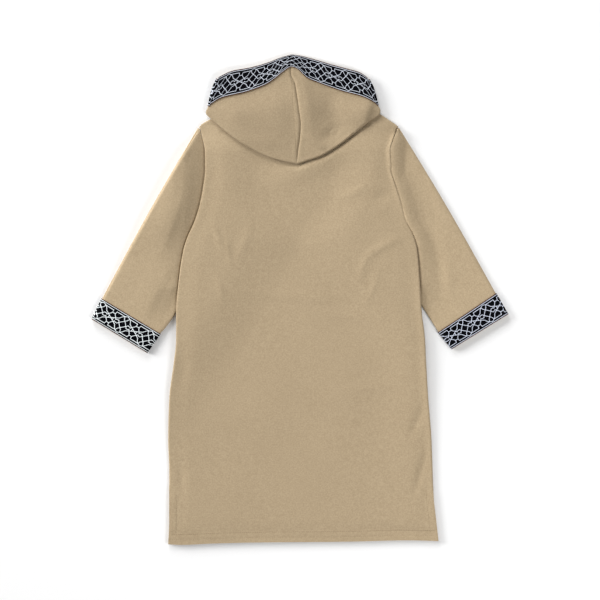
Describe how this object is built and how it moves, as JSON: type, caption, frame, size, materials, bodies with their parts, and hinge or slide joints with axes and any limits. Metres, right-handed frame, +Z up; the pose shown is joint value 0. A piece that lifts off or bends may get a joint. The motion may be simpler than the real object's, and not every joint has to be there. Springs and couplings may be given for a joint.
{
  "type": "jilbab",
  "caption": "Child's long hooded robe in tan fleece with woven geometric trim on hood and cuffs, laid flat on its front, hood folded over the back.",
  "frame": {"origin": "under the middle of the laid-out robe, on the surface that it lies on", "axes": "+Z up from the surface to the robe's back, +Y from the hem towards the neck, +X to the right as seen from above"},
  "size_m": [0.6474, 0.7609, 0.0176],
  "materials": {
    "fleece": "matt brushed fleece, tan",
    "woven_trim": "woven trim, navy with a pale blue geometric interlace"
  },
  "bodies": {
    "root": {"front": "fleece", "back": "fleece", "sleeve_left": "fleece", "sleeve_right": "fleece", "hood_left": "fleece", "hood_right": "fleece", "hood_band_left": "woven_trim", "hood_band_right": "woven_trim", "cuff_band_left": "woven_trim", "cuff_band_right": "woven_trim"}
  },
  "joints": []
}
